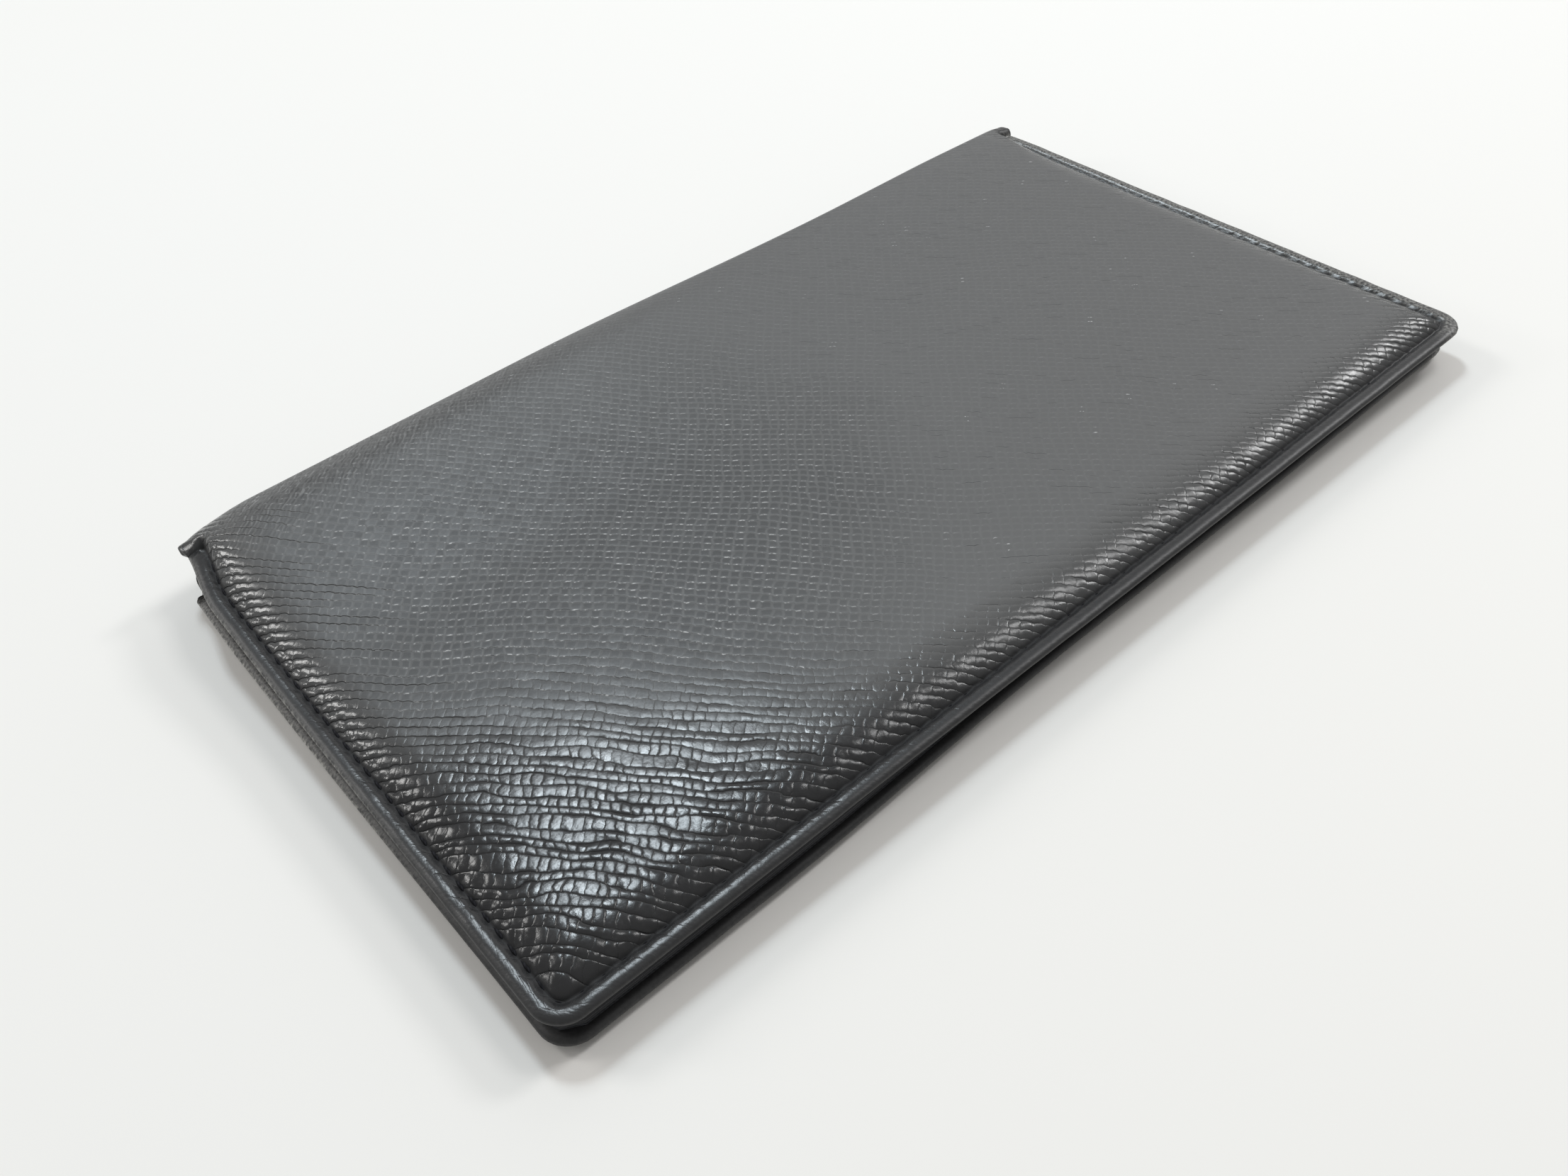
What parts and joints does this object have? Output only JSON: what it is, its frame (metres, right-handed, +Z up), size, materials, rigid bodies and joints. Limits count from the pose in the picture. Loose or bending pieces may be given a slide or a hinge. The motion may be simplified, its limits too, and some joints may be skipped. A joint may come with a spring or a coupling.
{
  "type": "card holder",
  "caption": "Long bifold card holder in padded cross-grain leather with turned, sewn edges, a soft rolled spine that folds open flat, and pockets for upright cards.",
  "frame": {"origin": "under the middle of the closed holder, on the flat of the back cover that lies on the table", "axes": "+X along the spine, +Y from the free edges to the spine, +Z up out of the front cover"},
  "size_m": [0.173, 0.1, 0.0101],
  "materials": {
    "cover_leather": "slate-black cross-grain leather, satin",
    "pocket_leather": "thin smooth black leather",
    "thread": "waxed black polyester thread",
    "lining": "black woven lining",
    "board": "thin fibre board",
    "padding": "thin foam padding"
  },
  "bodies": {
    "back_leaf": {"back_column_thread_left": "thread", "back_column_thread_right": "thread", "back_cover_leather": "cover_leather", "back_inner_seam_thread": "thread", "back_lining": "lining", "back_lower_pocket": "pocket_leather", "back_padding": "padding", "back_seam_thread": "thread", "back_stiffener": "board", "back_upper_pocket": "pocket_leather"},
    "spine": {"spine_leather": "cover_leather", "spine_lining": "lining"},
    "front_leaf": {"front_column_thread_left": "thread", "front_column_thread_right": "thread", "front_cover_leather": "cover_leather", "front_inner_seam_thread": "thread", "front_lining": "lining", "front_lower_pocket": "pocket_leather", "front_padding": "padding", "front_seam_thread": "thread", "front_stiffener": "board", "front_upper_pocket": "pocket_leather"}
  },
  "joints": [
    {"name": "spine_fold", "type": "hinge", "parent": "back_leaf", "child": "spine", "pos_m": [0, 0.04825, 0.0019], "axis": [-1, 0, 0], "range_deg": [0, 90.5]},
    {"name": "cover_fold", "type": "hinge", "parent": "spine", "child": "front_leaf", "pos_m": [0, 0.04825, 0.0077], "axis": [-1, 0, 0], "range_deg": [0, 90.5]}
  ],
  "couplings": [
    {"joint": "spine_fold", "follows": "cover_fold", "ratio": 1}
  ]
}
